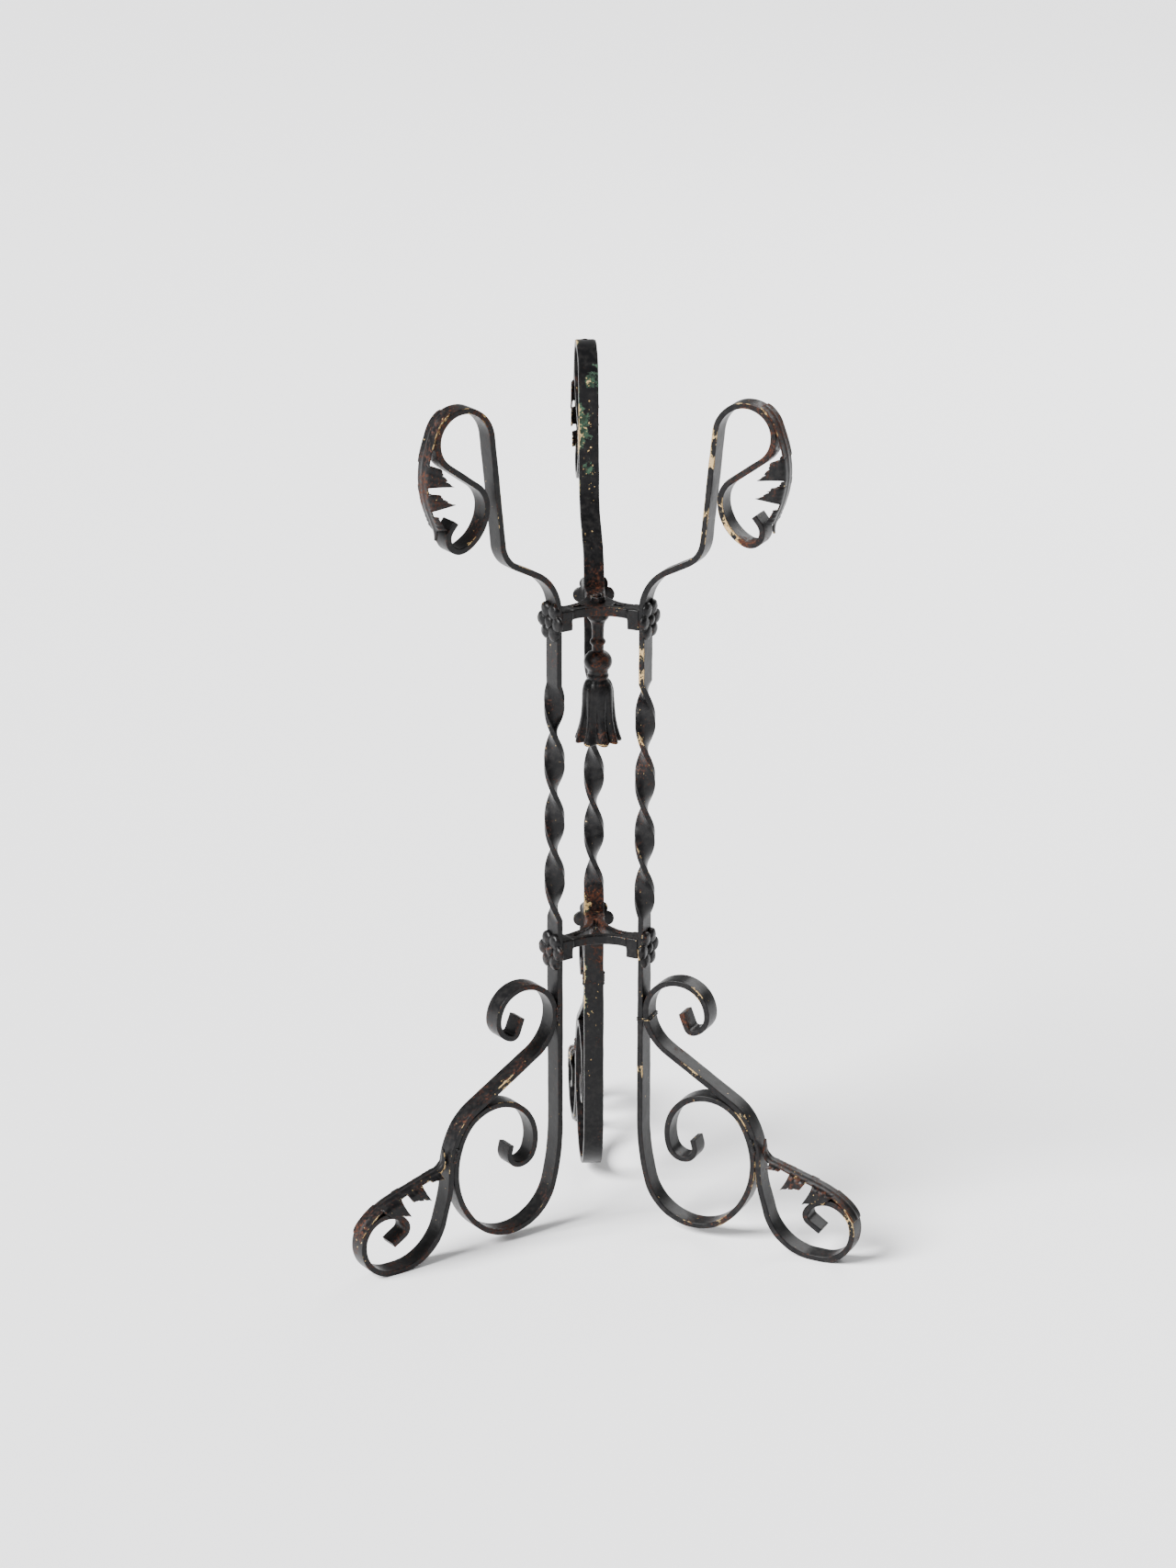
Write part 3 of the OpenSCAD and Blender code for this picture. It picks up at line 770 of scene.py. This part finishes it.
# Brackets: the cast shapes, with their edges softened

casting = dict(voxel=0.65 * mm, smooth=5)


def applied(piece):
    # the piece's mesh as its modifiers leave it
    graph = bpy.context.evaluated_depsgraph_get()
    mesh = bpy.data.meshes.new_from_object(piece.evaluated_get(graph))
    bm = bmesh.new()
    bm.from_mesh(mesh)
    bpy.data.meshes.remove(mesh)
    return bm


def makeBracket(level):
    bm = bmesh.new()
    bm.from_mesh(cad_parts[level + "_bracket"].data)
    bmesh.ops.remove_doubles(bm, verts=bm.verts, dist=2e-6)
    mesh = bpy.data.meshes.new("rawCasting")
    bm.to_mesh(mesh)
    bm.free()
    raw = bpy.data.objects.new("rawCasting", mesh)
    bpy.context.scene.collection.objects.link(raw)
    remesh = raw.modifiers.new("voxels", "REMESH")
    remesh.mode = "VOXEL"
    remesh.voxel_size = casting["voxel"]
    bm = applied(raw)
    bpy.data.objects.remove(raw)
    for _ in range(casting["smooth"]):
        bmesh.ops.smooth_vert(
            bm, verts=bm.verts, factor=0.5, use_axis_x=True, use_axis_y=True, use_axis_z=True
        )
    roughen(bm, [(0.011, 0.30 * mm), (0.003, 0.13 * mm)], 3)
    asPiece(
        level + "Bracket", bm, level + "_bracket", materials["bracket"],
        marks=bracketMarks[level], merge=False,
    )


bracketMarks = {
    "upper": [
        ("rusty", 0, 30, 527, 12, 1.2), ("rusty", 0, -14, 522, 12, 1.0), ("chipped", 12, -19, 524, 6, 0.9),
    ],
    "lower": [
        ("rusty", 0, 30, 250, 16, 1.4), ("chipped", 0, 33, 252, 7, 1.2), ("rusty", 8, 18, 246, 12, 1.3),
        ("rusty", -10, 10, 246, 14, 1.0),
    ],
}
for level in bracketHeight:
    makeBracket(level)
print("brackets made")


# Rivets, one through each corner of each bracket

rivet = dict(
    shank=2.5 * mm,
    head=4.8 * mm,
    dome=2.9 * mm,
    peen=3.9 * mm,
    proud=0.7 * mm,  # how far the head's seat stands above the rosette's base
    sunk=0.6 * mm,  # how deep the head's underside sits
    past=10 * mm,  # how far in the peened end lies from the upright
)


def makeRivets(level):
    bm = bmesh.new()
    outer = min(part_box(level + "_bracket")[1].y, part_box(level + "_bracket_rivets")[1].y)
    inner = outer - rivet["past"]
    seatX = uprightR + bar["thick"] / 2 + rosette["base"] + rivet["proud"]
    under = seatX - rivet["sunk"]
    domed = [
        (rivet["head"] * math.cos(math.radians(a)), seatX + rivet["dome"] * math.sin(math.radians(a)))
        for a in range(0, 91, 10)
    ]
    shank = [(rivet["head"], under), (rivet["shank"], under), (rivet["shank"], inner)]
    end = [(rivet["peen"], inner), (rivet["peen"] * 0.75, inner - 0.9 * mm), (0, inner - 1.2 * mm)]
    profile = domed[::-1] + shank + end
    for side, angle in legs.items():
        one = spun(ringPoints(profile), 40)
        bmesh.ops.recalc_face_normals(one, faces=one.faces)
        roughen(one, [(0.004, 0.3 * mm)], angle)
        lift = Matrix.Translation((0, 0, bracketHeight[level]))
        place = turned[side] @ lift @ Matrix.Rotation(math.radians(90), 4, "Y")
        bmesh.ops.transform(one, matrix=place, verts=one.verts)
        mesh = bpy.data.meshes.new("oneRivet")
        one.to_mesh(mesh)
        one.free()
        bm.from_mesh(mesh)
        bpy.data.meshes.remove(mesh)
    asPiece(level + "Rivets", bm, level + "_bracket_rivets", materials["fastener"])


for level in bracketHeight:
    makeRivets(level)
print("rivets made")


# Tassel: a spun profile with folds in its skirt

tasselLow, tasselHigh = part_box("tassel")
hubBottom = bracketHeight["upper"]
ballMid = hubBottom - 41 * mm
skirtTop = ballMid - 13 * mm
skirtFoot = tasselLow.z
tassel = dict(
    ballR=11.3 * mm,
    squash=0.85,
    folds=9,
    foldDepth=3.6 * mm,
    flare=0.9 * mm,
    scallop=1.5 * mm,
    stud=3 * mm,
    point=0.6 * mm,
)
tasselMarks = [
    ("rusty", 5, -16, 409, 7, 1.3), ("chipped", -11, -14, 410, 5, 1.2), ("rusty", 4, -11, 478, 9, 1.2),
    ("chipped", 2, -18, 410, 5, 1.1), ("rusty", 0, 0, 508, 12, 0.9), ("chipped", 13, -13, 410, 4, 0.8),
    ("rusty", 13, -13, 409, 7, 1.2), ("rusty", -14, -11, 409, 6, 1.0), ("rusty", 0, -8, 489, 9, 1.3),
]


def turnedFrom(height, steps):  # radius and height in millimetres, above a height
    return [(radius * mm, height + z * mm) for radius, z in steps]


def tasselProfile():
    ballR, studR, top = tassel["ballR"], tassel["stud"], tasselHigh.z
    stud = [(0, top), (2.5 * mm, top), (studR, top - tassel["point"]), (studR, hubBottom)]
    flange = turnedFrom(hubBottom, [
        (8.0, 0), (8.6, -0.9), (8.8, -3.0), (8.4, -4.8), (7.2, -6.2), (6.0, -7.8), (5.2, -10.5),
    ])
    neck = turnedFrom(ballMid, [
        (4.8, 27), (4.7, 22), (4.9, 19), (6.0, 17.6), (6.3, 16.4), (6.0, 15.2), (4.9, 13.6),
    ])
    ball = [
        (ballR * math.cos(math.radians(a)), ballMid + ballR * tassel["squash"] * math.sin(math.radians(a)))
        for a in range(66, -43, -6)
    ]
    collar = turnedFrom(skirtTop, [(7.9, 3.4), (8.5, 2.4), (8.7, 1.2), (8.4, 0), (8.0, -1)])
    skirt = turnedFrom(skirtTop, [
        (8.9, -2), (10.4, -3.6), (11.6, -6), (12.4, -9), (12.9, -13), (13.2, -18), (13.4, -23),
        (13.7, -28), (14.2, -33), (14.9, -37), (15.7, -41), (16.6, -45), (17.4, -48.5), (18.0, -51.2),
        (18.1, -52.3), (17.4, -53),
    ])
    under = turnedFrom(skirtFoot, [(15.4, 1.2), (11, 3), (5, 4), (0, 4.4)])
    return stud + flange + neck + ball + collar + skirt + under


def foldTassel(bm):
    # folds grow deeper towards the rim, which they scallop
    length = skirtTop - skirtFoot
    for v in bm.verts:
        down = (skirtTop - v.co.z) / length
        out = math.hypot(v.co.x, v.co.y)
        if down <= 0 or out < 1e-5:
            continue
        angle = math.atan2(v.co.y, v.co.x)
        wander = 0.5 * math.sin(angle * 2 + 1.3) + 0.35 * math.sin(angle * 3 + down * 1.5)
        wave = math.cos(tassel["folds"] / 2 * (angle + 0.12 * wander + 0.05 * math.sin(3 * down)))
        shaped = 2 * math.sqrt(0.02 + wave * wave) - 1.15
        strength = 0.12 + 1.05 * min(1, max(0, down * 1.35 - 0.2)) ** 1.2
        push = tassel["foldDepth"] * strength * (0.5 * shaped - 0.42)
        push += tassel["flare"] * max(0, down * 4 - 3)
        share = min(1, out / (10 * mm))
        v.co.x *= 1 + push * share / out
        v.co.y *= 1 + push * share / out
        if down > 0.8 and out > 6 * mm:
            v.co.z += tassel["scallop"] * (down - 0.8) / 0.2 * (0.5 - 0.5 * shaped)


def subdivideLine(bm, most):
    for _ in range(4):
        long = [e for e in bm.edges if e.calc_length() > most]
        if not long:
            break
        bmesh.ops.subdivide_edges(bm, edges=long, cuts=1)


def makeTassel():
    line = ringPoints(tasselProfile())
    subdivideLine(line, 1.4 * mm)
    bm = spun(line, 144)
    foldTassel(bm)
    bmesh.ops.recalc_face_normals(bm, faces=bm.faces)
    roughen(bm, [(0.009, 0.25 * mm), (0.003, 0.10 * mm)], 5)
    asPiece("tasselBody", bm, "tassel", materials["tassel"], marks=tasselMarks, spread=2)


nut = dict(bore=4 * mm, trim=0.7 * mm)


def makeNut():
    bm = bmesh.new()
    low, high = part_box("tassel_nut")
    bmesh.ops.create_circle(bm, cap_ends=False, segments=6, radius=(high.x - low.x) / 2)
    bmesh.ops.create_circle(bm, cap_ends=False, segments=24, radius=tassel["stud"])
    bmesh.ops.bridge_loops(bm, edges=bm.edges[:])
    made = bmesh.ops.extrude_face_region(bm, geom=bm.faces[:])
    top = [g for g in made["geom"] if isinstance(g, bmesh.types.BMVert)]
    bmesh.ops.translate(bm, vec=(0, 0, high.z - low.z), verts=top)
    sharp = []
    for e in bm.edges:
        clearOfBore = all(v.co.xy.length > nut["bore"] for v in e.verts)
        if clearOfBore and len(e.link_faces) == 2 and e.calc_face_angle(0) > 0.6:
            sharp.append(e)
    bmesh.ops.bevel(
        bm, geom=sharp, offset=nut["trim"], offset_type="OFFSET", segments=3, profile=0.5,
        affect="EDGES", material=-1, clamp_overlap=True,
    )
    bmesh.ops.translate(bm, vec=(0, 0, low.z), verts=bm.verts)
    asPiece("tasselNut", bm, "tassel_nut", materials["fastener"])


makeTassel()
makeNut()
print("tassel made")


# Weld beads on the side faces of the bars that meet, and the wire tie


weld = dict(pitch=1.7 * mm, radius=1.9 * mm)


def beadAt(bm, x, y, z, length, angle, shift):
    count = max(3, round(length / weld["pitch"]))
    for i in range(count):
        made = bmesh.ops.create_icosphere(bm, subdivisions=3, radius=weld["radius"])
        size = 0.9 + 0.25 * noise.noise(Vector((shift + i, x * 100, z * 50)))
        along = (i / (count - 1) - 0.5) * length
        turn = Matrix.Rotation(math.radians(angle), 4, "Y")
        spot = Vector((x, y, z)) + turn @ Vector((0, 0, along))
        place = Matrix.Translation(spot) @ turn @ Matrix.Diagonal((size, 0.75 * size, 0.95, 1))
        bmesh.ops.transform(bm, matrix=place, verts=made["verts"])


def makeWelds(name, node, sides, x, z, lean, length):
    bm = bmesh.new()
    for side in sides:
        start = len(bm.verts)
        for edge in (-1, 1):
            beadAt(bm, x, edge * bar["width"] / 2, z, length, lean, legs[side] + edge)
        bm.verts.ensure_lookup_table()
        bmesh.ops.transform(bm, matrix=turned[side], verts=bm.verts[start:])
    roughen(bm, [(0.0022, 0.25 * mm)], 11)
    asPiece(name, bm, node, materials["weld"])


curlTouch = after((*braceStart, 90), braceUp[:4])
scrollTurn = 14.5  # degrees up the scroll to the middle of its weld
scrollTouch = moved((scrollOut[0] + contact / 2, scrollOut[1], 90), (scrollTurn, scrollHug - contact / 2))
makeWelds(
    "legWelds", "brace_to_leg_welds", ["rear", "left"], uprightR + contact / 2, curlTouch[1], 0, 9 * mm
)
makeWelds(
    "scrollWelds", "brace_to_scroll_welds", list(legs), *scrollTouch[:2], -scrollTurn, 10 * mm
)


wire = dict(
    thick=1.1 * mm,
    off=0.605 * mm,  # the wire's middle, from the bar's face
    outer=1.6 * mm,  # room for the brace's bend on the outer side
    drop=8.6 * mm,
    pitch=0.42 * mm,
    slope=1.2 * mm,
    soft=1.4 * mm,  # how far each corner is cut
    turns=2,
    tail=[(-1.6, 2.2, 0.2), (-2.6, 4.0, -0.8)],
)


def makeWireTie():
    # wire wound round both bars, with a bent end
    x0 = uprightR - bar["thick"] / 2 - wire["off"]
    x1 = uprightR + bar["thick"] * 1.5 + bar["touch"] + wire["outer"]
    half = bar["width"] / 2 + wire["off"]
    base = curlTouch[1] - wire["drop"]
    corners = [(x0, -half), (x1, -half), (x1, half), (x0, half)]
    curve = bpy.data.curves.new("wireTie", "CURVE")
    curve.dimensions = "3D"
    curve.bevel_depth = wire["thick"] / 2
    curve.bevel_resolution = 3
    curve.use_fill_caps = True
    points = []
    for turnIndex in range(wire["turns"]):
        for i, (x, y) in enumerate(corners):
            rise = (turnIndex * 4 + i) * wire["pitch"] + (wire["slope"] if i in (1, 2) else 0)
            for other in (corners[i - 1], corners[(i + 1) % 4]):
                pull = (Vector((*other, 0)) - Vector((x, y, 0))).normalized() * wire["soft"]
                points.append(Vector((x, y, base + rise)) + pull)
    last = points[-1]
    points += [last + Vector(move) * mm for move in wire["tail"]]
    spline = curve.splines.new("POLY")
    spline.points.add(len(points) - 1)
    for spot, point in zip(spline.points, points):
        spot.co = (*point, 1)
    holder = bpy.data.objects.new("wireCurve", curve)
    bpy.context.scene.collection.objects.link(holder)
    bm = applied(holder)
    bpy.data.objects.remove(holder)
    asPiece("wireTie", bm, "wire_tie", materials["wire"], turned["right"])


makeWireTie()
print("welds and wire made")


# Floor, light and camera

studio = dict(
    floor=(0.90, 0.90, 0.91, 1),
    floorSize=60,
    floorRough=0.6,
    floorGloss=0.25,
    keyPower=12.5,
    keySpread=30,  # degrees
    keyAim=(3.1, 1.6, -2.9),
    fillPower=90,
    fillAt=(2.2, 3.0, 2.4),
    fillSize=(2.5, 2.0),
    middle=(0, 0, 0.35),
    sky=0.42,
)
view = dict(
    side=-7.8 * mm,
    distance=3.4377,
    height=1.6198,
    down=19.914,  # degrees below level
    turn=4.2,  # degrees round the stand
    focal=5000,  # in the same units as the frame's long side
    longSide=1707,
    sensor=36,
)


def makeFloor():
    bm = bmesh.new()
    bmesh.ops.create_grid(bm, x_segments=4, y_segments=4, size=studio["floorSize"] / 2)
    mesh = bpy.data.meshes.new("floor")
    bm.to_mesh(mesh)
    bm.free()
    floor = bpy.data.objects.new("floor", mesh)
    bpy.context.scene.collection.objects.link(floor)
    material = bpy.data.materials.new("floorPaint")
    material.use_nodes = True
    shader = material.node_tree.nodes["Principled BSDF"]
    shader.inputs["Base Color"].default_value = studio["floor"]
    shader.inputs["Roughness"].default_value = studio["floorRough"]
    shader.inputs["Specular IOR Level"].default_value = studio["floorGloss"]
    mesh.materials.append(material)


def makeLight(name, kind, power, aim, place=(0, 0, 0)):
    light = bpy.data.lights.new(name, kind)
    light.energy = power
    holder = bpy.data.objects.new(name, light)
    holder.location = place
    holder.rotation_euler = Vector(aim).to_track_quat("-Z", "Y").to_euler()
    bpy.context.scene.collection.objects.link(holder)
    return light


def makeStudio():
    makeFloor()
    key = makeLight("keyLight", "SUN", studio["keyPower"], studio["keyAim"])
    key.angle = math.radians(studio["keySpread"])
    inward = Vector(studio["middle"]) - Vector(studio["fillAt"])
    fill = makeLight("backFill", "AREA", studio["fillPower"], inward, studio["fillAt"])
    fill.shape = "RECTANGLE"
    fill.size, fill.size_y = studio["fillSize"]
    world = bpy.data.worlds.new("studioSky")
    world.use_nodes = True
    back = world.node_tree.nodes["Background"]
    back.inputs["Color"].default_value = (1, 1, 1, 1)
    back.inputs["Strength"].default_value = studio["sky"]
    bpy.context.scene.world = world


def makeCamera():
    camera = bpy.data.cameras.new("camera")
    camera.sensor_width = view["sensor"]
    camera.lens = view["focal"] * view["sensor"] / view["longSide"]
    camera.clip_end = 50
    holder = bpy.data.objects.new("camera", camera)
    turn = Matrix.Rotation(math.radians(-view["turn"]), 4, "Z")
    holder.location = turn @ Vector((view["side"], -view["distance"], view["height"]))
    holder.rotation_euler = (math.radians(90 - view["down"]), 0, math.radians(-view["turn"]))
    bpy.context.scene.collection.objects.link(holder)
    bpy.context.scene.camera = holder


makeStudio()
makeCamera()
print("studio made")
